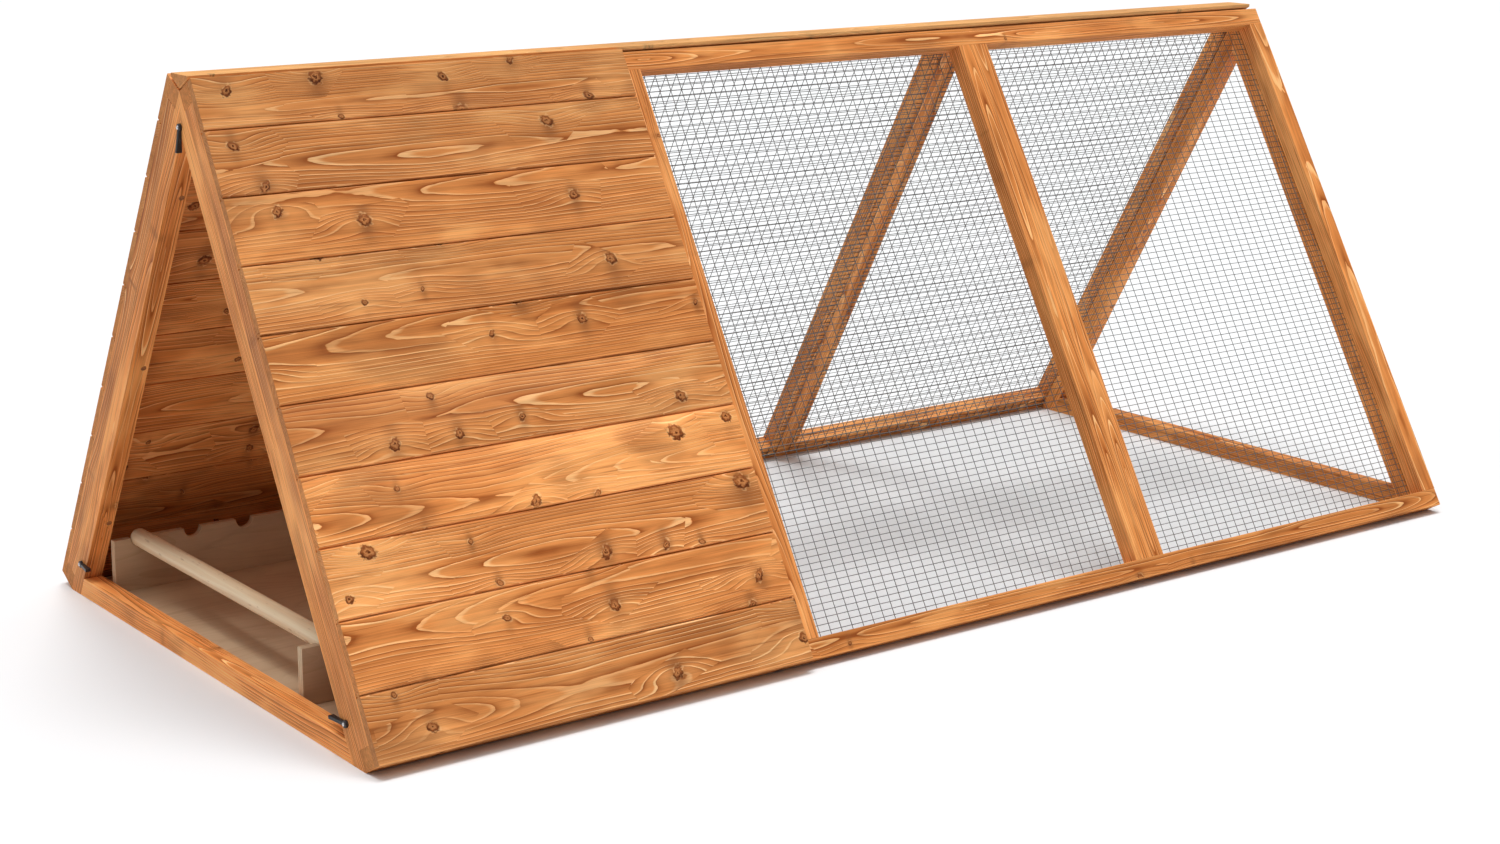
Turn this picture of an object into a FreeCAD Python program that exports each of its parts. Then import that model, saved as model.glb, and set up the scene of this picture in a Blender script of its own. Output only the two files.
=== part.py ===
import FreeCAD, Part
import math
import os

from FreeCAD import Vector

# A-frame chicken coop: two leaning walls of three framed modules each (one boarded, two
# meshed), joined along a ridge bar, with a triangular rafter frame at each end, a plywood
# nest with a lift-out perch, and three turn buttons round the door opening.
# Millimetres. +X runs from the door end to the run end, -Y is the near side, +Z is up.
# The origin is the centre of the bounding box at ground level.

# ---- driving dimensions ----
module_length = 656.5        # one framed module; three of them make a wall
module_count = 3
slope_length = 897.0         # ground to ridge, measured along the wall
slope_angle = 60.0           # wall to ground, degrees
batten = 28.0                # square timber of every frame, rafter and sill
board_thickness = 12.0       # cladding
first_board_cover = 88.0     # face of the bottom board, its groove ripped off
top_board_cover = 71.0       # face of the top board, its tongue ripped off
board_count = 10             # on each wall
board_gap = 2.0              # open joint seen between two faces
tongue_length = 6.0
tongue_thickness = 4.0
tongue_clearance = 0.3
board_chamfer = 1.6          # V along each board's face edges
cell_length = 19.0           # welded mesh cell along X, wire centre to centre
cell_height = 9.5            # the same up the wall
wire_size = 1.0
mesh_side_margin = 8.0       # least distance from a module's end to the outermost wire
mesh_bottom_margin = 8.0
mesh_top_margin = 14.0
ridge_half_width = 24.0
ridge_clearance = 3.0        # between the ridge bar and the tops of the walls
ridge_proud = 2.0            # above the outer edges of the top boards
ridge_short = 15.0           # the bar stops this far from the run end
plywood = 12.0
sill_clearance = 2.0         # nest floor and panels to the door sill
floor_back_gap = 2.5         # nest floor to the end of the house module
panel_back_gap = 54.5        # nest panels to the end of the house module
nest_height = 90.0           # top of the nest panels above the ground
nest_floor_gap = 3.0         # floor edge to the walls
nest_width = 573.0           # between the two panels
far_panel_gap = 30.5         # far panel's top to the wall frame
notch_radius = 14.0
notch_first = 40.0           # first notch from the panel's door end
notch_pitch = 83.0
notch_end_margin = 20.0      # least distance from the last notch to the panel's end
perch_radius = 13.0
perch_end_gap = 3.0          # short of each panel's outer face
perch_end_radius = 6.0       # rounding of the perch's ends
perch_clearance = 0.3        # perch to the bottom of its notch
button_clearance = 0.3       # behind a button and under its screw's head
button_reach = 32.5          # pivot to arm end
button_boss_radius = 5.0
button_boss_thickness = 3.5
button_neck_thickness = 3.2  # of the arm where it leaves the boss
button_tip_thickness = 8.0   # of the arm at its end, which stands proud as a thumb grip
button_neck_half = 2.7       # half the arm's width at the boss
button_tip_half = 2.3
button_bore_clearance = 0.08
button_edge_fillet = 0.8
button_screw_radius = 1.6
button_head_radius = 2.6
button_head_height = 1.3
button_head_fillet = 0.8
button_screw_depth = 20.0
top_button_rise = 10.0       # top pivot above the rafters' inner corner
low_button_slope = 65.0      # pivots of the two low buttons, up the slope
near_arm_tilt = 1.0          # arms of the low buttons from level, degrees
far_arm_tilt = -1.5
screw_radius = 2.0
screw_head_radius = 4.0
screw_head_length = 2.5
rafter_screw_length = 46.0
rafter_screw_offset = 6.0    # from the outermost mesh wire
rafter_screw_count = 3
corner_screw_length = 64.0
coupling_screw_length = 46.0
coupling_screw_count = 3
same_place = 1e-6            # edges nearer than this to a plane lie in it

# ---- worked out ----
length = module_length * module_count
sin_slope = math.sin(math.radians(slope_angle))
cos_slope = math.cos(math.radians(slope_angle))
board_cover = (slope_length - first_board_cover - top_board_cover) / (board_count - 2)
half_base = slope_length * cos_slope
apex_height = slope_length * sin_slope
mesh_thickness = 2 * wire_size
button_head_top = 2 * button_clearance + button_boss_thickness + button_head_height
button_proud = max(button_clearance + button_tip_thickness, button_head_top)
door_face = (button_proud - length) / 2
run_face = door_face + length
sides = {"near": -1, "far": 1}


def put(side, s, n):
    """Y and Z of a point s up the slope and n outward from the wall's inner plane."""
    y = side * (half_base - s * cos_slope + n * sin_slope)
    return y, s * sin_slope + n * cos_slope


def prism(outline, x0, x1):
    """Extrude a closed outline of (y, z) points from x0 to x1."""
    points = [Vector(x0, y, z) for y, z in outline]
    face = Part.Face(Part.makePolygon(points + points[:1]))
    return face.extrude(Vector(x1 - x0, 0, 0))


def wall_prism(side, outline, x0, x1):
    """Extrude an outline given as (s, n) points on one wall."""
    return prism([put(side, s, n) for s, n in outline], x0, x1)


def wall_block(side, x0, x1, s0, s1, n0, n1):
    return wall_prism(side, [(s0, n0), (s1, n0), (s1, n1), (s0, n1)], x0, x1)


def slope_vector(side):
    return Vector(0, -side * cos_slope, sin_slope)


def outward_vector(side):
    return Vector(0, side * sin_slope, cos_slope)


def wall_point(side, x, s, n):
    y, z = put(side, s, n)
    return Vector(x, y, z)


def bored(shape, screws):
    """Cut the holes of the screws that reach a piece."""
    tools = [screw for screw in screws if screw.BoundBox.intersect(shape.BoundBox)]
    return shape.cut(Part.makeCompound(tools)) if tools else shape


def save(name, solids):
    group = solids if isinstance(solids, list) else [solids]
    shape = group[0] if len(group) == 1 else Part.makeCompound(group)
    shape.exportStep("parts/%s.step" % name)
    print(name, len(group), round(sum(solid.Volume for solid in group) / 1000, 1), "cm3")


# ---- screws ----
def screw(base, direction, full_length):
    """Flat-headed wood screw; base is the middle of its head's top."""
    head = Part.makeCylinder(screw_head_radius, screw_head_length, base, direction)
    shank = Part.makeCylinder(screw_radius, full_length, base, direction)
    return head.fuse(shank).removeSplitter()


def stile_starts():
    """The X where each of a wall's stiles starts: one at each end of every module."""
    starts = []
    for module in range(module_count):
        start = door_face + module * module_length
        starts += [start, start + module_length - batten]
    return starts


def corner_screws():
    """Up through the bottom rail and down through the top rail into every stile's end."""
    screws = []
    for side in sides.values():
        for start in stile_starts():
            middle = start + batten / 2
            foot = wall_point(side, middle, 0, batten / 2)
            crown = wall_point(side, middle, slope_length, batten / 2)
            screws.append(screw(foot, slope_vector(side), corner_screw_length))
            screws.append(screw(crown, -slope_vector(side), corner_screw_length))
    return screws


def coupling_screws():
    """Through the two stiles where modules meet, driven from the run side."""
    screws = []
    for side in sides.values():
        for joint in range(1, module_count):
            x = door_face + joint * module_length + batten
            for number in range(coupling_screw_count):
                s = slope_length * (number + 1) / (coupling_screw_count + 1)
                base = wall_point(side, x, s, batten / 2)
                screws.append(screw(base, Vector(-1, 0, 0), coupling_screw_length))
    return screws


def mesh_rows():
    """Distances up the slope of the wires that run along X."""
    room = slope_length - mesh_bottom_margin - mesh_top_margin
    cells = math.floor(room / cell_height)
    first = mesh_bottom_margin + (room - cells * cell_height) / 2
    return [first + row * cell_height for row in range(cells + 1)]


def mesh_columns(module):
    """X of the wires that run up the slope in one module."""
    room = module_length - 2 * mesh_side_margin
    cells = math.floor(room / cell_length)
    start = door_face + module * module_length
    first = start + (module_length - cells * cell_length) / 2
    return [first + column * cell_length for column in range(cells + 1)]


def rafter_offset(at_door):
    """Gap between a rafter and its wall: the run end clamps the mesh there."""
    return 0 if at_door else mesh_thickness


def rafter_screws():
    """From inside each rafter into the end stile, between the wires of the mesh."""
    rows = mesh_rows()
    inset = run_face - mesh_columns(module_count - 1)[-1] + rafter_screw_offset
    screws = []
    for side in sides.values():
        for at_door in (True, False):
            x = door_face + inset if at_door else run_face - inset
            for number in range(rafter_screw_count):
                row = len(rows) * (2 * number + 1) // (2 * rafter_screw_count)
                s = rows[row] + cell_height / 2
                n = -rafter_offset(at_door) - batten
                base = wall_point(side, x, s, n)
                screws.append(screw(base, outward_vector(side), rafter_screw_length))
    return screws


# ---- walls ----
def rails(side, s0, screws):
    """Three rails end to end, one per module."""
    pieces = []
    for module in range(module_count):
        start = door_face + module * module_length
        rail = wall_block(side, start, start + module_length, s0, s0 + batten, 0, batten)
        pieces.append(bored(rail, screws))
    return pieces


def stile(side, start, screws):
    post = wall_block(side, start, start + batten, batten, slope_length - batten, 0, batten)
    return bored(post, screws)


def board_edges():
    """Lower edge of each board up the slope, and the ridge."""
    edges = [0] + [first_board_cover + board_cover * k for k in range(board_count - 1)]
    return edges + [slope_length]


def board_outline(lower, upper, grooved, tongued):
    """Section of a cladding board: tongue up, groove down, chamfered face edges."""
    inner = batten
    face = batten + board_thickness
    middle = batten + board_thickness / 2
    half = tongue_thickness / 2
    slot = half + tongue_clearance
    top = upper - board_gap if tongued else upper
    depth = tongue_length - board_gap + tongue_clearance
    outline = [(lower, inner)]
    if tongued:
        outline += [(top, inner), (top, middle - half), (top + tongue_length, middle - half)]
        outline += [(top + tongue_length, middle + half), (top, middle + half)]
        outline += [(top, face - board_chamfer), (top - board_chamfer, face)]
    else:
        outline += [(top, inner), (top, face)]
    if grooved:
        outline += [(lower + board_chamfer, face), (lower, face - board_chamfer)]
        outline += [(lower, middle + slot), (lower + depth, middle + slot)]
        outline += [(lower + depth, middle - slot), (lower, middle - slot)]
    else:
        outline += [(lower, face)]
    return outline


def boards(side):
    """Cladding of the house module, from the ground to the ridge."""
    edges = board_edges()
    pieces = []
    for number in range(board_count):
        outline = board_outline(edges[number], edges[number + 1],
                                number > 0, number < board_count - 1)
        pieces.append(wall_prism(side, outline, door_face, door_face + module_length))
    return pieces


def mesh_bay(side, module):
    """Welded mesh on the inner face of one module: long wires, then cross wires."""
    rows = mesh_rows()
    columns = mesh_columns(module)
    half = wire_size / 2
    wires = []
    for s in rows:
        wires.append(wall_block(side, columns[0] - half, columns[-1] + half,
                                s - half, s + half, -wire_size, 0))
    for x in columns:
        wires.append(wall_block(side, x - half, x + half, rows[0] - half, rows[-1] + half,
                                -mesh_thickness, -wire_size))
    return wires


# ---- ridge and end frames ----
def ridge_bar():
    """Flat-topped bar that fills the V between the walls' tops."""
    point = apex_height + ridge_clearance / sin_slope
    shoulder = point + ridge_half_width * cos_slope / sin_slope
    top = apex_height + (batten + board_thickness) * cos_slope + ridge_proud
    outline = [(0, point), (ridge_half_width, shoulder), (ridge_half_width, top),
               (-ridge_half_width, top), (-ridge_half_width, shoulder)]
    return prism(outline, door_face, run_face - ridge_short)


def rafter(side, at_door, screws):
    """Inner rafter: level cut on the ground, mitred to its partner at the middle."""
    outer = rafter_offset(at_door)
    inner = outer + batten
    start = door_face if at_door else run_face - batten
    outline = [(side * (half_base - outer / sin_slope), 0),
               (0, apex_height - outer / cos_slope),
               (0, apex_height - inner / cos_slope),
               (side * (half_base - inner / sin_slope), 0)]
    return bored(prism(outline, start, start + batten), screws)


def sill(at_door):
    """Ground rail between two rafters, its ends cut to their slope."""
    inner = rafter_offset(at_door) + batten
    foot = half_base - inner / sin_slope
    shoulder = foot - batten * cos_slope / sin_slope
    start = door_face if at_door else run_face - batten
    outline = [(-foot, 0), (foot, 0), (shoulder, batten), (-shoulder, batten)]
    return prism(outline, start, start + batten)


# ---- nest ----
nest_start = door_face + batten + sill_clearance
panel_length = module_length - batten - sill_clearance - panel_back_gap
floor_length = module_length - batten - sill_clearance - floor_back_gap
notch_count = math.floor((panel_length - notch_first - notch_end_margin) / notch_pitch) + 1
notch_places = [nest_start + notch_first + k * notch_pitch for k in range(notch_count)]
far_panel_y = half_base - nest_height * cos_slope / sin_slope - far_panel_gap - plywood
near_panel_y = far_panel_y - nest_width - plywood
perch_height = nest_height - notch_radius + perch_radius + perch_clearance


def nest_floor():
    """Plywood on the ground, its long edges square and clear of the walls."""
    half = half_base - plywood * cos_slope / sin_slope - nest_floor_gap
    return Part.makeBox(floor_length, 2 * half, plywood, Vector(nest_start, -half, 0))


def nest_panel(y):
    """Upright with a row of round-bottomed notches; y is its face on the near side."""
    panel = Part.makeBox(panel_length, plywood, nest_height - plywood,
                         Vector(nest_start, y, plywood))
    cuts = [Part.makeCylinder(notch_radius, plywood, Vector(x, y, nest_height), Vector(0, 1, 0))
            for x in notch_places]
    return panel.cut(Part.makeCompound(cuts))


def perch():
    """Round bar across the first pair of notches, its ends rounded."""
    near_end = near_panel_y + perch_end_gap
    far_end = far_panel_y + plywood - perch_end_gap
    base = Vector(notch_places[0], near_end, perch_height)
    bar = Part.makeCylinder(perch_radius, far_end - near_end, base, Vector(0, 1, 0))
    rims = [edge for edge in bar.Edges if isinstance(edge.Curve, Part.Circle)]
    return bar.makeFillet(perch_end_radius, rims)


# ---- turn buttons ----
def button_pivots():
    """Pivot and arm direction (y, z) of each button on the door face."""
    low_y, low_z = put(-1, low_button_slope, -batten / 2)
    top_z = apex_height - batten / cos_slope + top_button_rise
    near_tilt = math.radians(near_arm_tilt)
    far_tilt = math.radians(far_arm_tilt)
    return {"top": ((0, top_z), (0, -1)),
            "near": ((low_y, low_z), (math.cos(near_tilt), math.sin(near_tilt))),
            "far": ((-low_y, low_z), (-math.cos(far_tilt), math.sin(far_tilt)))}


def turn_button(pivot, direction):
    """Round boss with a narrow arm that stands further out towards its end, bored for a screw."""
    back = door_face - button_clearance
    (y, z), (dy, dz) = pivot, direction
    along = Vector(0, dy, dz)
    across = Vector(0, -dz, dy)
    out = Vector(-1, 0, 0)
    axis_foot = Vector(back, y, z)

    def slab(corners, first, second, third, depth):
        """Extrude corners given along two directions by a depth along the third."""
        points = [axis_foot + first * a + second * b for a, b in corners]
        return Part.Face(Part.makePolygon(points + points[:1])).extrude(third * depth)

    plan = [(0, button_neck_half), (button_reach, button_tip_half),
            (button_reach, -button_tip_half), (0, -button_neck_half)]
    profile = [(0, 0), (button_reach, 0), (button_reach, button_tip_thickness),
               (0, button_neck_thickness)]
    outline = slab(plan, along, across, out, button_tip_thickness)
    rise = slab(profile, along, out, across, 2 * button_neck_half)
    rise.translate(-across * button_neck_half)
    arm = outline.common(rise)
    grip = [edge for edge in arm.Edges if edge.BoundBox.XMax < back - button_edge_fillet]
    arm = arm.makeFillet(button_edge_fillet, grip)

    boss = Part.makeCylinder(button_boss_radius, button_boss_thickness, axis_foot, out)
    front = back - button_boss_thickness
    rim = [edge for edge in boss.Edges if abs(edge.BoundBox.XMax - front) < same_place]
    boss = boss.makeFillet(button_edge_fillet, rim)
    bore = Part.makeCylinder(button_screw_radius + button_bore_clearance,
                             button_tip_thickness, axis_foot, out)
    return boss.fuse(arm).cut(bore)


def button_screw(pivot):
    """Pan-headed screw through a button into the door frame."""
    y, z = pivot
    under_head = door_face - 2 * button_clearance - button_boss_thickness
    axis = Vector(1, 0, 0)
    shank = Part.makeCylinder(button_screw_radius, button_screw_depth, Vector(under_head, y, z), axis)
    head = Part.makeCylinder(button_head_radius, button_head_height,
                             Vector(under_head - button_head_height, y, z), axis)
    front = [edge for edge in head.Edges
             if abs(edge.BoundBox.XMax - under_head + button_head_height) < same_place]
    head = head.makeFillet(button_head_fillet, front)
    return head.fuse(shank).removeSplitter()


def main():
    os.makedirs("parts", exist_ok=True)
    corners = corner_screws()
    couplings = coupling_screws()
    rafters_in = rafter_screws()
    pivots = button_pivots()
    button_pins = [button_screw(pivot) for pivot, direction in pivots.values()]
    drilled = corners + couplings + rafters_in + button_pins

    stile_names = ["door_stile", "house_stile", "first_bay_stile", "middle_stile",
                   "second_bay_stile", "end_stile"]
    for word, side in sides.items():
        save(word + "_bottom_rails", rails(side, 0, drilled))
        save(word + "_top_rails", rails(side, slope_length - batten, drilled))
        for name, start in zip(stile_names, stile_starts()):
            save("%s_%s" % (word, name), stile(side, start, drilled))
        for number, board in enumerate(boards(side)):
            save("%s_board_%02d" % (word, number + 1), board)
        for bay in range(1, module_count):
            save("%s_mesh_bay_%d" % (word, bay), mesh_bay(side, bay))
        save(word + "_door_rafter", rafter(side, True, drilled))
        save(word + "_end_rafter", rafter(side, False, drilled))
    save("ridge_bar", ridge_bar())
    save("door_sill", sill(True))
    save("end_sill", sill(False))
    save("nest_floor", nest_floor())
    save("near_nest_panel", nest_panel(near_panel_y))
    save("far_nest_panel", nest_panel(far_panel_y))
    save("perch", perch())
    for word, (pivot, direction) in pivots.items():
        save(word + "_turn_button", turn_button(pivot, direction))
    save("button_screws", button_pins)
    save("corner_screws", corners)
    save("coupling_screws", couplings)
    save("rafter_screws", rafters_in)


main()
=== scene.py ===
import math

import bpy
import numpy as np
from mathutils import Euler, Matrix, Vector


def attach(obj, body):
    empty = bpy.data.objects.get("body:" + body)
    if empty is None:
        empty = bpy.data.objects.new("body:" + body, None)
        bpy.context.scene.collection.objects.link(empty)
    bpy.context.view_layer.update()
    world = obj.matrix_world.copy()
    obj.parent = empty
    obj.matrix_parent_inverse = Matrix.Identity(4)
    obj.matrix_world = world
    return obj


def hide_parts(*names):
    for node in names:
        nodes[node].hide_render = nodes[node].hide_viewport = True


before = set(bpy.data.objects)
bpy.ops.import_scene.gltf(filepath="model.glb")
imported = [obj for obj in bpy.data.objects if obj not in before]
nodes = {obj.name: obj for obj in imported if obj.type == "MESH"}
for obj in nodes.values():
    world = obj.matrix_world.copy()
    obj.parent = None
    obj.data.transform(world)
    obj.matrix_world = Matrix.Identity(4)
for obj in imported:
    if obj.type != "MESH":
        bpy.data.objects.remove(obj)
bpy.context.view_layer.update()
print("frame loaded:", len(nodes), "nodes")

slopeAngle = math.radians(60)                    # wall to ground
sideSign = {"near": -1, "far": 1}


def slopeAxes(side):
    # up the wall, and out of the wall
    up = Vector((0, -side * math.cos(slopeAngle), math.sin(slopeAngle)))
    out = Vector((0, side * math.sin(slopeAngle), math.cos(slopeAngle)))
    return up, out


class Signal:
    # one number running through a material; a formula on it adds Math nodes
    def __init__(self, bench, socket):
        self.bench, self.socket = bench, socket

    def __add__(self, other):
        return self.bench.math("ADD", self, other)

    def __sub__(self, other):
        return self.bench.math("SUBTRACT", self, other)

    def __rsub__(self, other):
        return self.bench.math("SUBTRACT", other, self)

    def __mul__(self, other):
        return self.bench.math("MULTIPLY", self, other)

    def __truediv__(self, other):
        return self.bench.math("DIVIDE", self, other)

    def __pow__(self, power):
        return self.bench.math("POWER", self, power)

    def __gt__(self, limit):
        return self.bench.math("GREATER_THAN", self, limit)

    def __abs__(self):
        return self.bench.math("ABSOLUTE", self)

    def step(self, low, high):
        # 0 at low, 1 at high, smooth between; low may be the greater of the two
        feeds = {"Value": self, "From Min": low, "From Max": high}
        made = self.bench.add("MapRange", feeds, interpolation_type="SMOOTHSTEP")
        return Signal(self.bench, made.outputs[0])

    def band(self, rises, full, fades, gone):
        # 1 between full and fades, 0 before rises and after gone
        return self.step(rises, full) * self.step(gone, fades)


class Bench:
    # the tools that fill one node tree
    def __init__(self, tree):
        self.tree = tree

    def feed(self, socket, value):
        source = value.socket if isinstance(value, Signal) else value
        if isinstance(source, bpy.types.NodeSocket):
            self.tree.links.new(source, socket)
        else:
            socket.default_value = source

    def add(self, kind, feeds=None, **settings):
        # feeds is {input name or number: value, socket or signal}
        made = self.tree.nodes.new("ShaderNode" + kind)
        for key, value in settings.items():
            setattr(made, key, value)
        for key, value in (feeds or {}).items():
            self.feed(made.inputs[key], value)
        return made

    def math(self, operation, *terms):
        made = self.add("Math", dict(enumerate(terms)), operation=operation)
        return Signal(self, made.outputs[0])

    def distance(self, u, v):
        return self.math("SQRT", u ** 2 + v ** 2)

    def fadeOut(self, u, v, reachU, reachV):
        # 1 at the middle, falling to nothing over an ellipse
        spread = (u / reachU) ** 2 + (v / reachV) ** 2
        return self.math("EXPONENT", spread * -1)

    def vector(self, operation, a, b, output=0):
        return Signal(self, self.add("VectorMath", {0: a, 1: b}, operation=operation).outputs[output])

    def split(self, vector):
        return [Signal(self, socket) for socket in self.add("SeparateXYZ", {0: vector}).outputs]

    def coordinates(self, kind):
        return Signal(self, self.add("TexCoord").outputs[kind])

    def noise(self, place, stretch, detail, rough, output="Fac"):
        feeds = {"Vector": self.vector("MULTIPLY", place, stretch), "Scale": 1.0,
                 "Detail": detail, "Roughness": rough}
        return Signal(self, self.add("TexNoise", feeds).outputs[output])

    def mottle(self, scale, detail):
        # even noise over a whole piece
        feeds = {"Vector": self.coordinates("Object"), "Scale": scale, "Detail": detail}
        return Signal(self, self.add("TexNoise", feeds).outputs["Fac"])

    def mixed(self, share, a, b, kind="MIX"):
        return self.add("Mix", {0: share, 6: a, 7: b}, data_type="RGBA", blend_type=kind).outputs[2]

    def dimmed(self, color, level):
        grey = self.add("CombineColor", {0: level, 1: level, 2: level}).outputs[0]
        return self.mixed(1.0, color, grey, "MULTIPLY")


def rgba(red, green, blue):
    return (red, green, blue, 1.0)


grainLook = {
    "ringGap": 0.0036,                 # growth rings
    "ringDrift": (110.0, 1.2),         # rate and amount, in rings, of their uneven spacing
    "wander": (0.027, 0.054),          # of the heart of the tree along a piece: sideways, in depth
    "shake": 0.0016,                   # small ripples of the rings
    "latewood": (0.76, 0.90, 0.975),   # a ring's pale line rises, is full and ends at these shares
    "soak": ((1.6, 0.42), (5.0, 1.05)),   # powers and amounts of stain in the rest of the ring
    "lineChance": (0.72, 0.28),        # range and least strength of one ring's pale line
    "soakChance": (0.6, 0.4),          # and of its stain
    "regions": (0.38, 0.60, 0.52, 0.44),  # pale lines: noise from and to, range and least share
    "threads": (0.44, 0.30, 0.50),     # dark threads: noise from and to, share
    "deep": rgba(0.33, 0.088, 0.016),  # stain soaked in
    "mid": rgba(0.72, 0.282, 0.080),
    "glow": rgba(0.90, 0.43, 0.150),   # thin stain over pale wood
    "line": rgba(1.0, 0.62, 0.290),    # hard latewood takes least stain
    "dusk": rgba(0.31, 0.110, 0.032),  # greyed patches and the smear beside a knot
    "endGrain": rgba(0.46, 0.205, 0.080),
    "paintedHighlight": rgba(1.0, 0.66, 0.27),     # painted highlight: the lit colour the ridge bar is paled towards
    "warm": rgba(1.04, 0.94, 0.82),
    "cool": rgba(1.03, 1.03, 1.06),
    "wornAndHighlit": (0.0030, 0.0010, 0.6),     # arris: where rubbed stain and a painted highlight start and are full, and their share
    "arrisStreak": (0.40, 0.56),
    "endGrainFacing": (0.75, 0.95),
    "endGrainShare": 0.6,
    "brightness": (0.42, 0.86, 0.40),  # from fibres, from streaks, and everywhere
    "roughness": (0.24, 0.42, 0.10, 0.2),    # from fibres, everywhere, less on lines, on end grain
    "height": (0.60, 0.45, 0.30, 0.6, 0.35),  # of lines, fibres, streaks; depth of bark and stain
}

# stretch along, across and through the wood per metre, detail, roughness
grainNoise = {
    "slow": ((1.9, 6.0, 6.0), 1.0, 0.4),
    "quick": ((16.0, 75.0, 75.0), 2.0, 0.5),
    "bend": ((230.0, 230.0, 230.0), 1.0, 0.5),
    "crumble": ((120.0, 120.0, 120.0), 1.0, 0.5),
    "fibre": ((11.0, 760.0, 760.0), 3.0, 0.65),
    "streak": ((4.5, 170.0, 170.0), 3.0, 0.65),
    "thread": ((7.0, 360.0, 360.0), 2.0, 0.6),
    "patch": ((5.0, 17.0, 17.0), 3.0, 0.55),
    "region": ((2.6, 8.0, 8.0), 1.0, 0.5),
    "dim": ((7.0, 11.0, 11.0), 2.0, 0.5),
}

# uneven stain: noise, where it starts and is full, share, colour
grainPatches = [
    ("patch", 0.47, 0.68, 0.74, "glow"),
    ("patch", 0.50, 0.26, 0.50, "deep"),
    ("dim", 0.54, 0.72, 0.46, "dusk"),
]

knotLook = {
    "scatter": 0.85,
    "bareCells": 0.50,                 # share of cells with no knot
    "sizes": (1.8, 0.66, 0.34),        # power, range and least of a knot's size
    "bent": 1.1,                       # unevenness of its outline
    "squeeze": (0.7, 0.62),            # range and least of its length to its width
    "flowLong": 3.4,                   # rings part this much longer along the wood than across
    "flowRoom": 0.005,
    "bulge": 1.6,                      # how far the rings are pushed, in knot sizes
    "smear": (1.5, 4.2, 0.88),         # brown shade: along, across, share
    "halo": (5.0, 1.3, 0.40),          # thin stain drawn out beside it: along, across, share
    "smearPatch": (0.66, 0.40),        # it keeps to where stain is not already thin
    "rings": 2.6,
    # in shares of a knot's size: its dark heart, its edge, the pale rim round it and the bark
    "pith": (0.30, 0.10),
    "edge": (1.04, 0.90),
    "rim": (0.86, 1.05, 1.15, 1.55),
    "rimShare": 0.42,
    "barkBand": (0.55, 0.95, 1.02, 1.30),
    "crescent": (0.55, -0.60),         # bark gathers on the side below
    "bark": (0.35, 0.62),              # dark from crumbled bark, and from the crescent below
    "crumbles": (0.36, 0.56),          # noise over which bark breaks up
    "pithyFrom": 0.4,                  # only the larger knots have a dark heart
    "dark": rgba(0.100, 0.020, 0.002),
    "warm": rgba(0.29, 0.080, 0.018),
    "pale": rgba(0.52, 0.215, 0.070),
}


def knotField(bench, take, along, across, bend):
    # the nearest of many scattered points, in metres along and across, its outline bent by noise
    look = knotLook
    long, wide = Signal(bench, take.outputs["Knot Long"]), Signal(bench, take.outputs["Knot Wide"])
    cells = bench.add("CombineXYZ", {0: along / long, 1: across / wide}).outputs[0]
    feeds = {"Vector": cells, "Scale": 1.0, "Randomness": look["scatter"]}
    scatter = bench.add("TexVoronoi", feeds, voronoi_dimensions="2D", feature="F1")
    gaps = bench.split(bench.vector("SUBTRACT", cells, scatter.outputs["Position"]))
    drawn = bench.add("SeparateColor", {0: scatter.outputs["Color"]}).outputs
    chance = [Signal(bench, socket) for socket in drawn]
    u, v = gaps[0] * long, gaps[1] * wide
    power, span, least = look["sizes"]
    size = (chance[0] ** power * span + least) * take.outputs["Knot Size"]
    lean = chance[2] - 0.5
    span, least = look["squeeze"]
    bentU = (u + (bend[0] - 0.5) * (size * look["bent"]) + v * lean) / (chance[2] * span + least)
    bentV = v + (bend[1] - 0.5) * (size * look["bent"])
    return {"u": u, "v": v, "size": size, "present": chance[1] > look["bareCells"],
            "share": bench.distance(bentU, bentV) / size,
            "below": (bentV + bentU * lean) / size, "pithy": chance[0] > look["pithyFrom"]}


def ringField(bench, place, knot, slow, quick):
    # Growth rings are shells round a wandering heart line: the distance from it over the ring gap,
    # whose fraction is the place within a ring. Knots add to the distance and so part the rings.
    look = grainLook
    heart = [place[1 + k] + ((slow[k] - 0.5) * look["wander"][k] + (quick[k] - 0.5) * look["shake"])
             for k in range(2)]
    flowReach = knot["size"] + knotLook["flowRoom"]
    flow = ((knot["u"] / knotLook["flowLong"]) ** 2 + knot["v"] ** 2) / flowReach ** 2
    bulge = bench.math("EXPONENT", flow * -0.5) * (knot["size"] * knotLook["bulge"]) * knot["present"]
    radius = bench.distance(*heart) + bulge
    rate, amount = look["ringDrift"]
    feeds = {"W": radius * rate, "Scale": 1.0, "Detail": 1.0}
    uneven = Signal(bench, bench.add("TexNoise", feeds, noise_dimensions="1D").outputs["Fac"])
    rings = radius / look["ringGap"] + uneven * amount
    share = bench.math("FRACT", rings)
    whole = {"W": bench.math("FLOOR", rings)}
    chance = Signal(bench, bench.add("TexWhiteNoise", whole, noise_dimensions="1D").outputs["Value"])
    rises, full, ends = look["latewood"]
    span, least = look["lineChance"]
    line = share.step(rises, full) * (1.0 - share.step(ends, 1.0)) * (chance * span + least)
    # next to the line comes the darkest soft wood, which pales towards the next line
    (power, amount), (edgePower, edgeAmount) = look["soak"]
    soak = (1.0 - share) ** power * amount + (1.0 - share) ** edgePower * edgeAmount
    span, least = look["soakChance"]
    return line, soak * (chance * span + least)


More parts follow.
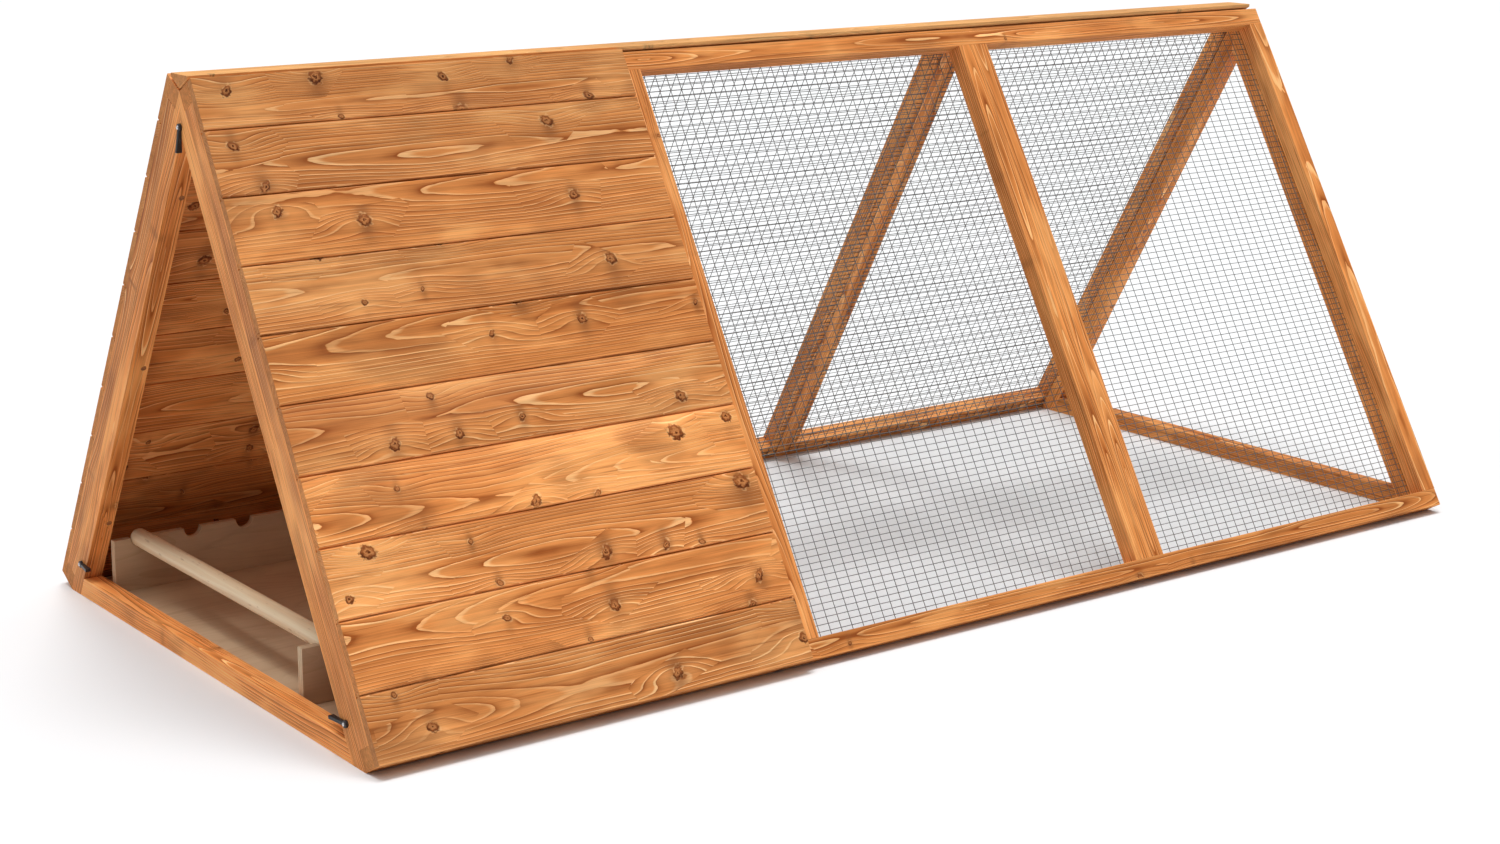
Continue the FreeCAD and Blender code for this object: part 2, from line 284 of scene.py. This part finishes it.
def paintKnot(bench, color, knot, patch, broken):
    # shade and halo round it, then bark, warm rings and pith
    look, share, size, present = knotLook, knot["share"], knot["size"], knot["present"]
    long, wide, amount = look["halo"]
    halo = bench.fadeOut(knot["u"], knot["v"], size * long, size * wide) * present
    color = bench.mixed(halo * amount, color, grainLook["glow"])
    long, wide, amount = look["smear"]
    smear = bench.fadeOut(knot["u"], knot["v"], size * long, size * wide) * present
    color = bench.mixed(smear * patch.step(*look["smearPatch"]) * amount, color, grainLook["dusk"])
    rings = bench.math("PINGPONG", share * look["rings"], 1.0)
    wood = bench.mixed(rings, look["warm"], look["pale"])
    wood = bench.mixed(share.step(*look["pith"]) * knot["pithy"], wood, look["dark"])
    color = bench.mixed(share.step(*look["edge"]) * present, color, wood)
    rim = share.band(*look["rim"]) * present * (1.0 - broken)
    color = bench.mixed(rim * look["rimShare"], color, grainLook["line"])
    crumbled, crescent = look["bark"]
    shown = broken * crumbled + knot["below"].step(*look["crescent"]) * crescent
    bark = share.band(*look["barkBand"]) * present * shown
    return bench.mixed(bark, color, look["dark"]), bark


def wearAndHighlightArris(bench, color, take, streak):
    # an arris is where the distances to both of the piece's sides are small; it is lightened there,
    # partly rubbed stain, partly a painted highlight
    local, half = bench.split(take.outputs["Local"]), bench.split(take.outputs["Half"])
    nearness = (half[1] - abs(local[1])) + (half[2] - abs(local[2]))
    starts, full, amount = grainLook["wornAndHighlit"]
    wornAndHighlit = nearness.step(starts, full) * streak.step(*grainLook["arrisStreak"])
    return bench.mixed(wornAndHighlit * amount, color, grainLook["glow"])


def buildGrain():
    # one group for all the stained wood: rings, uneven stain, knots, rubbed arrises with a painted
    # highlight, end grain, brightness, then a painted highlight that pales a whole piece
    look = grainLook
    inputs = [("Local", "Vector", (0, 0, 0)), ("Heart", "Vector", (0, 0, 0.03)),
              ("Half", "Vector", (0.3, 0.04, 0.01)), ("Along", "Vector", (1, 0, 0)),
              ("Knot Long", "Float", 0.13), ("Knot Wide", "Float", 0.062),
              ("Knot Size", "Float", 0.009), ("Tone", "Float", 1.0), ("Warm", "Float", 0.5),
              ("Painted Highlight", "Float", 0.0)]
    tree = bpy.data.node_groups.new("stainedGrain", "ShaderNodeTree")
    for label, kind, value in inputs:
        socket = tree.interface.new_socket(label, in_out="INPUT", socket_type="NodeSocket" + kind)
        socket.default_value = value
    for label, kind in (("Color", "Color"), ("Roughness", "Float"), ("Height", "Float")):
        tree.interface.new_socket(label, in_out="OUTPUT", socket_type="NodeSocket" + kind)
    take, give = tree.nodes.new("NodeGroupInput"), tree.nodes.new("NodeGroupOutput")
    bench = Bench(tree)

    spot = bench.vector("ADD", take.outputs["Local"], take.outputs["Heart"])
    place = bench.split(spot)
    threes = {name: bench.split(bench.noise(spot, *grainNoise[name], "Color"))
              for name in ("slow", "quick", "bend")}
    ones = {name: bench.noise(spot, *grainNoise[name])
            for name in ("crumble", "fibre", "streak", "thread", "patch", "region", "dim")}
    fibre, streak = ones["fibre"], ones["streak"]
    knot = knotField(bench, take, place[0], place[1], threes["bend"])
    line, soak = ringField(bench, place, knot, threes["slow"], threes["quick"])

    color = bench.mixed(soak, look["mid"], look["deep"])
    for name, starts, full, amount, tint in grainPatches:
        color = bench.mixed(ones[name].step(starts, full) * amount, color, look[tint])
    starts, full, span, least = look["regions"]
    shown = ones["region"].step(starts, full) * span + least
    color = bench.mixed(line * shown, color, look["line"])
    starts, full, amount = look["threads"]
    color = bench.mixed(ones["thread"].step(starts, full) * amount, color, look["deep"])
    broken = ones["crumble"].step(*knotLook["crumbles"])
    color, bark = paintKnot(bench, color, knot, ones["patch"], broken)
    color = wearAndHighlightArris(bench, color, take, streak)

    # end grain drinks the stain and greys
    facing = bench.vector("DOT_PRODUCT", bench.coordinates("Normal"), take.outputs["Along"], "Value")
    endGrain = abs(facing).step(*look["endGrainFacing"])
    color = bench.mixed(endGrain * look["endGrainShare"], color, look["endGrain"])
    fromFibre, fromStreak, always = look["brightness"]
    brightness = fibre * fromFibre + streak * fromStreak + always
    color = bench.dimmed(color, brightness * take.outputs["Tone"])
    tint = bench.mixed(take.outputs["Warm"], look["warm"], look["cool"])
    color = bench.mixed(1.0, color, tint, "MULTIPLY")
    # painted highlight: the piece is paled towards a lit colour everywhere but on its end grain
    color = bench.mixed((1.0 - endGrain) * take.outputs["Painted Highlight"], color, look["paintedHighlight"])

    fromFibre, always, onLine, onEnd = look["roughness"]
    roughness = fibre * fromFibre + always - line * onLine + endGrain * onEnd
    ofLine, ofFibre, ofStreak, inBark, inSoak = look["height"]
    raised = line * ofLine + fibre * ofFibre + streak * ofStreak
    height = raised - (bark * inBark + soak * inSoak)
    for label, value in (("Color", color), ("Roughness", roughness), ("Height", height)):
        bench.feed(give.inputs[label], value)
    return tree


grainGroup = buildGrain()


def newMaterial(name, base):
    # a Principled surface alone, with the bench that feeds it
    material = bpy.data.materials.new(name)
    material.use_nodes = True
    material.diffuse_color = base
    material.node_tree.nodes.clear()
    bench = Bench(material.node_tree)
    surface = bench.add("BsdfPrincipled")
    bench.add("OutputMaterial", {0: surface.outputs[0]})
    return material, bench, surface


def coat(bench, surface, color, roughness, bump=None):
    # bump is (height, strength, distance)
    bench.feed(surface.inputs["Base Color"], color)
    bench.feed(surface.inputs["Roughness"], roughness)
    if bump:
        height, strength, distance = bump
        made = bench.add("Bump", {"Height": height, "Strength": strength, "Distance": distance})
        bench.feed(surface.inputs["Normal"], made.outputs[0])


def pieceTurn(kind, side):
    # Euler angles that bring a piece's length to X, its face's width to Y and its thickness to Z
    tilt = slopeAngle * side
    turns = {
        "wallAlong": (tilt, 0, 0),                       # rails and boards
        "wallUp": (tilt, 0, -math.pi / 2),               # stiles and rafters
        "along": (0, 0, 0),
        "across": (0, 0, -math.pi / 2),
        "upright": (-math.pi / 2, 0, 0),
    }
    return turns[kind]


def meshPoints(node):
    # one row for each point, in metres
    mesh = nodes[node].data
    points = np.zeros(len(mesh.vertices) * 3)
    mesh.vertices.foreach_get("co", points)
    return points.reshape(-1, 3)


def localFrame(node, kind, side=1):
    # the turn, middle and half sizes of a node in its own turned frame
    turn = Euler(pieceTurn(kind, side), "XYZ").to_matrix()
    points = meshPoints(node) @ np.array(turn).T
    low, high = points.min(0), points.max(0)
    return turn, (low + high) / 2, (high - low) / 2


def localPlace(bench, kind, middle, side=1):
    # object coordinates turned into the piece's frame, centred on it
    feeds = {"Vector": bench.coordinates("Object"), "Rotation": pieceTurn(kind, side),
             "Location": tuple(-middle)}
    return Signal(bench, bench.add("Mapping", feeds, vector_type="POINT").outputs[0])


def dress(node, material):
    # one finish over the whole node
    thing = nodes[node]
    thing.data.materials.clear()
    thing.data.materials.append(material)


timberLook = {
    "base": rgba(0.62, 0.25, 0.08),
    "boardCount": 10,
    # heart of the tree to a piece's middle: greatest sideways, least and greatest depth
    "boardHeart": (0.03, 0.012, 0.048),
    "battenHeart": (0.010, 0.012, 0.050),
    # spacing of knots along and across, greatest radius
    "boardKnots": (0.112, 0.058, 0.0104),
    "battenKnots": (0.160, 0.050, 0.0062),
    "boardTones": (0.88, 1.16),
    "battenTones": (0.90, 1.12),
    "boardWarm": (0.15, 0.65),
    "battenWarm": (0.0, 0.35),
    "sillLift": 1.18,                 # the door sill is lighter than the rest
    # share of the painted highlight that pales the ridge bar, standing in for the light on its top
    "ridgeHighlight": 0.32,
    "farApart": 40,                   # metres between stretches of grain
    "specular": 0.15,
    "bump": (0.8, 0.0006),
    "seed": 11,
}


def timber(node, kind, side, heart, tone, warm, knots, pale=0.0):
    # the grain group, cut at this piece's own place in its own tree
    look = timberLook
    turn, middle, half = localFrame(node, kind, side)
    material, bench, surface = newMaterial("stained_" + node, look["base"])
    along = turn.transposed() @ Vector((1, 0, 0))
    feeds = {"Heart": heart, "Half": tuple(half), "Along": tuple(along), "Knot Long": knots[0],
             "Knot Wide": knots[1], "Knot Size": knots[2], "Tone": tone, "Warm": warm, "Painted Highlight": pale,
             "Local": localPlace(bench, kind, middle, side)}
    group = bench.add("Group", feeds, node_tree=grainGroup)
    coat(bench, surface, group.outputs["Color"], group.outputs["Roughness"],
         (group.outputs["Height"], *look["bump"]))
    surface.inputs["Specular IOR Level"].default_value = look["specular"]
    dress(node, material)


def dressTimber(look):
    # every piece draws its heart, then its tone, then its warmth
    draw = np.random.default_rng(look["seed"])

    def heart(reach):
        # a far stretch of a different tree for every piece
        sideways, least, greatest = reach
        return (draw.uniform(-look["farApart"], look["farApart"]), draw.uniform(-sideways, sideways),
                draw.uniform(least, greatest) * draw.choice([-1, 1]))

    def piece(node, kind, side, word, lift=1.0, pale=0.0):
        middle = heart(look[word + "Heart"])
        tone = lift * draw.uniform(*look[word + "Tones"])
        warm = draw.uniform(*look[word + "Warm"])
        timber(node, kind, side, middle, tone, warm, look[word + "Knots"], pale)

    for word, side in sideSign.items():
        for number in range(look["boardCount"]):
            piece("%s_board_%02d" % (word, number + 1), "wallAlong", side, "board")
        for ending in ("bottom_rails", "top_rails"):
            piece(word + "_" + ending, "wallAlong", side, "batten")
        uprights = ["door_stile", "house_stile", "first_bay_stile", "middle_stile", "second_bay_stile",
                    "end_stile", "door_rafter", "end_rafter"]
        for ending in uprights:
            piece(word + "_" + ending, "wallUp", side, "batten")
    # the ridge bar gets a painted highlight for the light on its top
    piece("ridge_bar", "along", 1, "batten", 1.0, look["ridgeHighlight"])
    piece("door_sill", "across", 1, "batten", look["sillLift"])
    piece("end_sill", "across", 1, "batten")


dressTimber(timberLook)
print("timber stained")


plyLook = {
    "face": rgba(0.58, 0.405, 0.255),
    "vein": rgba(0.44, 0.285, 0.165),
    "pale": rgba(0.73, 0.56, 0.37),
    "core": rgba(0.52, 0.35, 0.21),
    "plies": 5,
    "bands": 26.0,                    # contour bands in the face veneer
    "veins": (0.55, 1.0, 0.38),       # each: from and to, share
    "clouds": (0.45, 0.70, 0.55),
    "flecks": (0.68, 0.78, 0.35),
    "edges": (0.55, 0.25),            # dark on every second ply, and from its grit
    "edgeFacing": (0.8, 0.4),
    "brightness": (0.24, 0.88),       # from fibres, and everywhere
    "roughness": (0.2, 0.52),
    "bump": (0.3, 0.0003),
    "veinHeight": 0.4,
    "specular": 0.3,
}

# stretch along, across and through the sheet per metre, detail, roughness
plyNoise = {
    "contour": ((1.3, 7.0, 7.0), 2.0, 0.5),
    "fibre": ((14.0, 420.0, 420.0), 3.0, 0.6),
    "cloud": ((4.0, 9.0, 9.0), 3.0, 0.5),
    "fleck": ((30.0, 500.0, 500.0), 1.0, 0.5),
    "grit": ((900.0, 300.0, 900.0), 2.0, 0.5),
}


def plywood(node, kind, heart):
    # face veneer: contour bands of a slow stretched noise; edge: stacked plies by depth
    look = plyLook
    turn, middle, half = localFrame(node, kind)
    material, bench, surface = newMaterial("plywood_" + node, look["face"])
    local = localPlace(bench, kind, middle)
    place = bench.vector("ADD", local, heart)
    ones = {name: bench.noise(place, *plyNoise[name]) for name in plyNoise}
    starts, full, amount = look["veins"]
    vein = bench.math("FRACT", ones["contour"] * look["bands"]).step(starts, full)
    color = bench.mixed(vein * amount, look["face"], look["vein"])
    starts, full, amount = look["clouds"]
    color = bench.mixed(ones["cloud"].step(starts, full) * amount, color, look["pale"])
    starts, full, amount = look["flecks"]
    color = bench.mixed(ones["fleck"].step(starts, full) * amount, color, look["core"])

    depth = bench.split(local)[2]
    layer = bench.math("FLOOR", (depth + half[2]) / (2 * half[2] / look["plies"]))
    odd = bench.math("PINGPONG", layer, 1.0) > 0.5
    fromPly, fromGrit = look["edges"]
    dark = odd * fromPly + ones["grit"] * fromGrit
    edgeColor = bench.mixed(dark, look["pale"], look["core"])
    thick = turn.transposed() @ Vector((0, 0, 1))
    facing = bench.vector("DOT_PRODUCT", bench.coordinates("Normal"), tuple(thick), "Value")
    color = bench.mixed(abs(facing).step(*look["edgeFacing"]), color, edgeColor)
    fibre, (fromFibre, always) = ones["fibre"], look["brightness"]
    color = bench.dimmed(color, fibre * fromFibre + always)
    fromFibre, always = look["roughness"]
    height = fibre + vein * look["veinHeight"]
    coat(bench, surface, color, fibre * fromFibre + always, (height, *look["bump"]))
    surface.inputs["Specular IOR Level"].default_value = look["specular"]
    dress(node, material)


plywood("nest_floor", "along", (3.1, 0.4, 0.9))
plywood("near_nest_panel", "upright", (7.7, 1.4, 0.2))
plywood("far_nest_panel", "upright", (12.3, 2.4, 0.6))

perchLook = {
    "body": rgba(0.84, 0.62, 0.38),
    "pale": rgba(0.93, 0.75, 0.51),
    "fleck": rgba(0.46, 0.26, 0.12),
    "bands": 9.0,
    "flecks": (0.66, 0.74, 0.5),      # from and to, share
    "knots": (0.74, 0.80, 0.7),
    "brightness": (0.2, 0.9),         # from fibres, and everywhere
    "roughness": (0.2, 0.38),
    "bump": (0.25, 0.0003),
}

perchNoise = {
    "band": ((2.0, 55.0, 55.0), 2.0, 0.5),
    "fibre": ((18.0, 800.0, 800.0), 3.0, 0.6),
    "fleck": ((45.0, 260.0, 260.0), 2.0, 0.5),
    "knot": ((24.0, 60.0, 60.0), 1.0, 0.5),
}


def dressPerch(look):
    # soft bands go to and fro between two colours; small flecks and pin knots lie over them
    middle = localFrame("perch", "across")[1]
    material, bench, surface = newMaterial("perch_wood", look["body"])
    local = localPlace(bench, "across", middle)
    ones = {name: bench.noise(local, *perchNoise[name]) for name in perchNoise}
    bands = bench.math("PINGPONG", ones["band"] * look["bands"], 1.0)
    color = bench.mixed(bands, look["body"], look["pale"])
    for name, spots in (("fleck", look["flecks"]), ("knot", look["knots"])):
        starts, full, amount = spots
        color = bench.mixed(ones[name].step(starts, full) * amount, color, look["fleck"])
    fibre, (fromFibre, always) = ones["fibre"], look["brightness"]
    color = bench.dimmed(color, fibre * fromFibre + always)
    fromFibre, always = look["roughness"]
    coat(bench, surface, color, fibre * fromFibre + always, (fibre, *look["bump"]))
    dress("perch", material)


dressPerch(perchLook)
print("nest and perch finished")

arrisLook = {
    "width": 0.0008,
    "segments": 2,
    "sharpest": 25,                   # degrees between faces, from which an edge is eased
    "weld": 0.00002,
    "unsawn": ("mesh", "screw", "button", "perch"),
}


def easeArrises(look):
    # the sawn edges are eased by a hair on every wooden piece but the round perch
    for name, thing in nodes.items():
        if thing.hide_render or any(word in name for word in look["unsawn"]):
            continue
        weld = thing.modifiers.new("weld", "WELD")
        weld.merge_threshold = look["weld"]
        bevel = thing.modifiers.new("arris", "BEVEL")
        bevel.width = look["width"]
        bevel.segments = look["segments"]
        bevel.limit_method = "ANGLE"
        bevel.angle_limit = math.radians(look["sharpest"])


easeArrises(arrisLook)
print("arrises eased")

meshLook = {
    "cellLong": 0.019,
    "cellHigh": 0.0095,
    "wireRadius": 0.00052,
    "layerDepth": 0.0005,      # first layer's middle behind the wall's inner plane
    "layerGap": 0.0010,        # between the middles of the two layers
    "bow": 0.0016,             # how far a bay sags inwards between its staples
    "sway": 0.0005,            # in-plane unevenness
    "rippleShare": 0.5,        # of the bow
    # waves across and up a bay, in radians from edge to edge
    "rippleWaves": (9, 7),
    "alongWaves": (5, 11),
    "climbWaves": (13, 6),
    "steps": 9,                # rings of points along a wire
    "sides": 6,
    "capShare": 0.35,          # how far a wire's end is domed, in radii
    "seed": 5,
}

wireLook = {
    "base": rgba(0.30, 0.31, 0.32),
    "dark": rgba(0.115, 0.112, 0.108),
    "bright": rgba(0.235, 0.230, 0.222),
    "dull": rgba(0.15, 0.140, 0.125),
    "spangle": (900.0, 3.0),          # scale per metre and detail
    "spangles": (0.35, 0.65),         # from and to
    "drift": (35.0, 2.0),
    "drifts": (0.45, 0.7, 0.4),       # from and to, share
    "roughness": (0.25, 0.32),        # from spangles, and everywhere
    "metallic": 0.6,
}


def wireMaterial(look):
    # small spangles between two greys, under slow dull drifts
    material, bench, surface = newMaterial("galvanised_wire", look["base"])
    spangle, drift = bench.mottle(*look["spangle"]), bench.mottle(*look["drift"])
    color = bench.mixed(spangle.step(*look["spangles"]), look["dark"], look["bright"])
    starts, full, amount = look["drifts"]
    color = bench.mixed(drift.step(starts, full) * amount, color, look["dull"])
    fromSpangle, always = look["roughness"]
    coat(bench, surface, color, spangle * fromSpangle + always)
    surface.inputs["Metallic"].default_value = look["metallic"]
    return material


def tubes(paths, look):
    # A circle carried along every path: point + radius * (cos t * normal + sin t * binormal), where the
    # frame comes from each path's own direction; ends close on a centre point pushed out a little.
    count, steps, _ = paths.shape
    radius, sides = look["wireRadius"], look["sides"]
    ahead = np.gradient(paths, axis=1)
    ahead /= np.linalg.norm(ahead, axis=2, keepdims=True)
    runsAlong = np.abs(ahead[..., :1]) > 0.7        # within 45 degrees of X
    reference = np.where(runsAlong, [0.0, 0.0, 1.0], [1.0, 0.0, 0.0])
    normal = np.cross(ahead, reference)
    normal /= np.linalg.norm(normal, axis=2, keepdims=True)
    binormal = np.cross(ahead, normal)
    turn = np.arange(sides) * 2 * math.pi / sides
    ring = (np.cos(turn)[None, None, :, None] * normal[:, :, None, :]
            + np.sin(turn)[None, None, :, None] * binormal[:, :, None, :])
    skin = paths[:, :, None, :] + radius * ring
    dome = radius * look["capShare"]
    caps = np.stack([paths[:, 0] - ahead[:, 0] * dome, paths[:, -1] + ahead[:, -1] * dome], 1)
    points = np.concatenate([skin.reshape(count, -1, 3), caps], 1)
    i, j = np.meshgrid(np.arange(steps - 1), np.arange(sides), indexing="ij")
    here, beside = i * sides + j, i * sides + (j + 1) % sides
    quads = np.stack([here, beside, beside + sides, here + sides], -1).reshape(-1, 4)
    k = np.arange(sides)
    after = (k + 1) % sides
    last = (steps - 1) * sides
    starts = np.stack([np.full(sides, steps * sides), after, k], -1)
    stops = np.stack([np.full(sides, steps * sides + 1), last + k, last + after], -1)
    shift = np.arange(count)[:, None, None] * (steps * sides + 2)
    quads = (quads[None] + shift).reshape(-1, 4)
    tris = (np.concatenate([starts, stops])[None] + shift).reshape(-1, 3)
    return points.reshape(-1, 3), quads.tolist() + tris.tolist()


def newPiece(name, points, faces, material, smooth=True):
    # points in metres, faces as lists of their numbers
    mesh = bpy.data.meshes.new(name)
    mesh.from_pydata(points, [], faces)
    mesh.materials.append(material)
    mesh.polygons.foreach_set("use_smooth", np.full(len(mesh.polygons), smooth))
    mesh.update()
    thing = bpy.data.objects.new(name, mesh)
    bpy.context.scene.collection.objects.link(thing)
    return thing


def wirePlaces(start, room, gap, cell):
    # middles of the wires that fit side by side in a room
    return start + gap / 2 + np.arange(round((room - gap) / cell) + 1) * cell


def meshBay(node, word, look, material, draw):
    # Two layers of straight wires on a wall, both bent by one smooth field: a bow that is a product of
    # sine arches between the bay's edges, and slow sine sway within the wall.
    up, out = (np.array(axis) for axis in slopeAxes(sideSign[word]))
    points = meshPoints(node)
    low, high = points.min(0), points.max(0)
    climbs = points @ up
    bottom, top, plane = climbs.min(), climbs.max(), (points @ out).max()
    width, height, gap = high[0] - low[0], top - bottom, look["layerGap"]
    columns = wirePlaces(low[0], width, gap, look["cellLong"])
    rows = wirePlaces(bottom, height, gap, look["cellHigh"])
    phase = draw.uniform(0, 2 * math.pi, 6)
    phases = {"rippleWaves": (phase[0], phase[1]), "alongWaves": (phase[3], phase[2]),
              "climbWaves": (phase[4], phase[5])}

    def wave(name, across, climbed):
        # a standing wave: the product of a sine across the bay and one up it
        (acrossRate, climbRate), (acrossPhase, climbPhase) = look[name], phases[name]
        return np.sin(acrossRate * across + acrossPhase) * np.sin(climbRate * climbed + climbPhase)

    def bent(x, s, depth):
        # x along the wall, s up it, depth behind its inner plane
        across, climbed = (x - low[0]) / width, (s - bottom) / height
        arch = np.clip(np.sin(math.pi * across), 0, 1) * np.clip(np.sin(math.pi * climbed), 0, 1)
        ripple = 1 + look["rippleShare"] * wave("rippleWaves", across, climbed)
        n = plane - depth - arch * look["bow"] * ripple
        sway = look["sway"] * arch
        x = x + wave("alongWaves", across, climbed) * sway
        s = s + wave("climbWaves", across, climbed) * sway
        place = s[..., None] * up + n[..., None] * out
        place[..., 0] = x
        return place

    xs = np.linspace(low[0], high[0], look["steps"])
    ss = np.linspace(bottom, top, look["steps"])
    longWires = bent(*np.meshgrid(xs, rows), look["layerDepth"])
    crossS, crossX = np.meshgrid(ss, columns)
    crossWires = bent(crossX, crossS, look["layerDepth"] + gap)
    skin, faces = tubes(np.concatenate([longWires, crossWires]), look)
    piece = newPiece(word + "_welded_mesh_" + node[-1], skin, faces, material)
    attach(piece, "coop")
    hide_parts(node)


def makeMesh(look):
    # two bays on each wall, all of one wire
    material = wireMaterial(wireLook)
    draw = np.random.default_rng(look["seed"])
    for word in sideSign:
        for bay in (1, 2):
            meshBay("%s_mesh_bay_%d" % (word, bay), word, look, material, draw)


makeMesh(meshLook)
print("mesh woven")

blackLook = {
    "base": rgba(0.02, 0.02, 0.022),
    "fresh": rgba(0.012, 0.012, 0.014),
    "rubbed": rgba(0.035, 0.035, 0.038),
    "grit": (2600.0, 2.0),            # scale per metre and detail
    "rub": (160.0, 3.0),
    "rubs": (0.55, 0.75),             # from and to
    "roughness": (0.25, 0.26),        # from rubbing, and everywhere
    "bump": (0.25, 0.0001),
}


def blackMaterial(look):
    # gritty near-black, greyer and duller where it is rubbed
    material, bench, surface = newMaterial("black_coating", look["base"])
    grit, rub = bench.mottle(*look["grit"]), bench.mottle(*look["rub"])
    color = bench.mixed(rub.step(*look["rubs"]), look["fresh"], look["rubbed"])
    fromRub, always = look["roughness"]
    coat(bench, surface, color, rub * fromRub + always, (grit, *look["bump"]))
    return material


zincLook = {
    "base": rgba(0.72, 0.72, 0.74),
    "bright": rgba(0.70, 0.70, 0.72),
    "hazed": rgba(0.52, 0.52, 0.53),
    "haze": (700.0, 3.0),             # scale per metre and detail
    "hazes": (0.4, 0.7),              # from and to
    "roughness": (0.25, 0.2),         # from haze, and everywhere
    "metallic": 1.0,
}


def zincMaterial(look):
    # bright metal, greyer and duller under haze
    material, bench, surface = newMaterial("zinc_screw", look["base"])
    haze = bench.mottle(*look["haze"])
    color = bench.mixed(haze.step(*look["hazes"]), look["bright"], look["hazed"])
    fromHaze, always = look["roughness"]
    coat(bench, surface, color, haze * fromHaze + always)
    surface.inputs["Metallic"].default_value = look["metallic"]
    return material


coveredLook = {
    "base": rgba(0.26, 0.10, 0.035),
    "thick": rgba(0.20, 0.070, 0.022),
    "thin": rgba(0.40, 0.150, 0.048),
    "film": (420.0, 3.0),             # scale per metre and detail
    "films": (0.35, 0.65),            # from and to
    "roughness": 0.5,
}


def coveredMaterial(look):
    # heads stained over with the wood, thick film and thin by turns
    material, bench, surface = newMaterial("stained_over_screw", look["base"])
    film = bench.mottle(*look["film"])
    color = bench.mixed(film.step(*look["films"]), look["thick"], look["thin"])
    coat(bench, surface, color, look["roughness"])
    return material


blackCoat, zincScrew = blackMaterial(blackLook), zincMaterial(zincLook)
coveredScrew = coveredMaterial(coveredLook)
for word in ("top", "near", "far"):
    dress(word + "_turn_button", blackCoat)
dress("button_screws", zincScrew)
for node in ("corner_screws", "coupling_screws", "rafter_screws"):
    dress(node, coveredScrew)
print("hardware finished")

stageLook = {
    "floorSize": 60.0,
    "floorColor": rgba(0.838, 0.850, 0.864),
    "floorRoughness": 0.8,
    "floorSpecular": 0.1,
    "skyColor": rgba(1.0, 1.0, 1.0),
    "skySeen": 1.0,               # behind the object
    "skyLow": 0.06,               # what falls on it, from the horizon
    "skyHigh": 1.26,              # and from overhead
}


def makeStage(look):
    # a wide floor; the sky's light grows with the square of its height, and is seen as plain white
    half = look["floorSize"] / 2
    material, _, surface = newMaterial("studio_floor", look["floorColor"])
    surface.inputs["Base Color"].default_value = look["floorColor"]
    surface.inputs["Roughness"].default_value = look["floorRoughness"]
    surface.inputs["Specular IOR Level"].default_value = look["floorSpecular"]
    corners = [(-half, -half, 0), (half, -half, 0), (half, half, 0), (-half, half, 0)]
    floor = newPiece("studio_floor", corners, [(0, 1, 2, 3)], material, False)
    world = bpy.data.worlds.new("studio")
    bpy.context.scene.world = world
    world.use_nodes = True
    sky = Bench(world.node_tree)
    backdrop = sky.tree.nodes["Background"]
    backdrop.inputs[0].default_value = look["skyColor"]
    rise = abs(sky.split(sky.coordinates("Generated"))[2])
    falls = rise ** 2 * (look["skyHigh"] - look["skyLow"]) + look["skyLow"]
    seen = Signal(sky, sky.add("LightPath").outputs["Is Camera Ray"])
    sky.feed(backdrop.inputs[1], seen * look["skySeen"] + falls * (1.0 - seen))
    bpy.context.scene.view_settings.view_transform = "Standard"


lampLook = {
    # direction towards each lamp, its strength and the angle it fills, degrees
    "overheadDoor": ((-0.17, 0.02, 1.0), 1.02, 18.0),
    "overheadRun": ((0.19, 0.06, 1.0), 0.92, 18.0),
}


def makeLamps(look):
    # wide suns, each turned to shine from its own direction
    for name, (towards, strength, spread) in look.items():
        lamp = bpy.data.lights.new(name, "SUN")
        lamp.energy = strength
        lamp.angle = math.radians(spread)
        thing = bpy.data.objects.new(name, lamp)
        thing.rotation_mode = "QUATERNION"
        thing.rotation_quaternion = Vector(towards).to_track_quat("Z", "Y")
        thing.location = Vector(towards) * 4
        bpy.context.scene.collection.objects.link(thing)


cameraLook = {
    "place": (-2.35875, -3.0489, 1.1587),
    "turn": (77.811, -0.191, -36.538),    # degrees
    "lens": 61.8,
    "sensor": 36.0,
    "shift": (0.0091, -0.0530),
}


def makeCamera(look):
    # place in metres; the shift is a share of the picture's longer side
    lens = bpy.data.cameras.new("camera")
    lens.lens = look["lens"]
    lens.sensor_width = look["sensor"]
    lens.shift_x, lens.shift_y = look["shift"]
    thing = bpy.data.objects.new("camera", lens)
    thing.location = look["place"]
    thing.rotation_euler = [math.radians(angle) for angle in look["turn"]]
    bpy.context.scene.collection.objects.link(thing)
    bpy.context.scene.camera = thing


makeStage(stageLook)
makeLamps(lampLook)
makeCamera(cameraLook)
print("stage set")
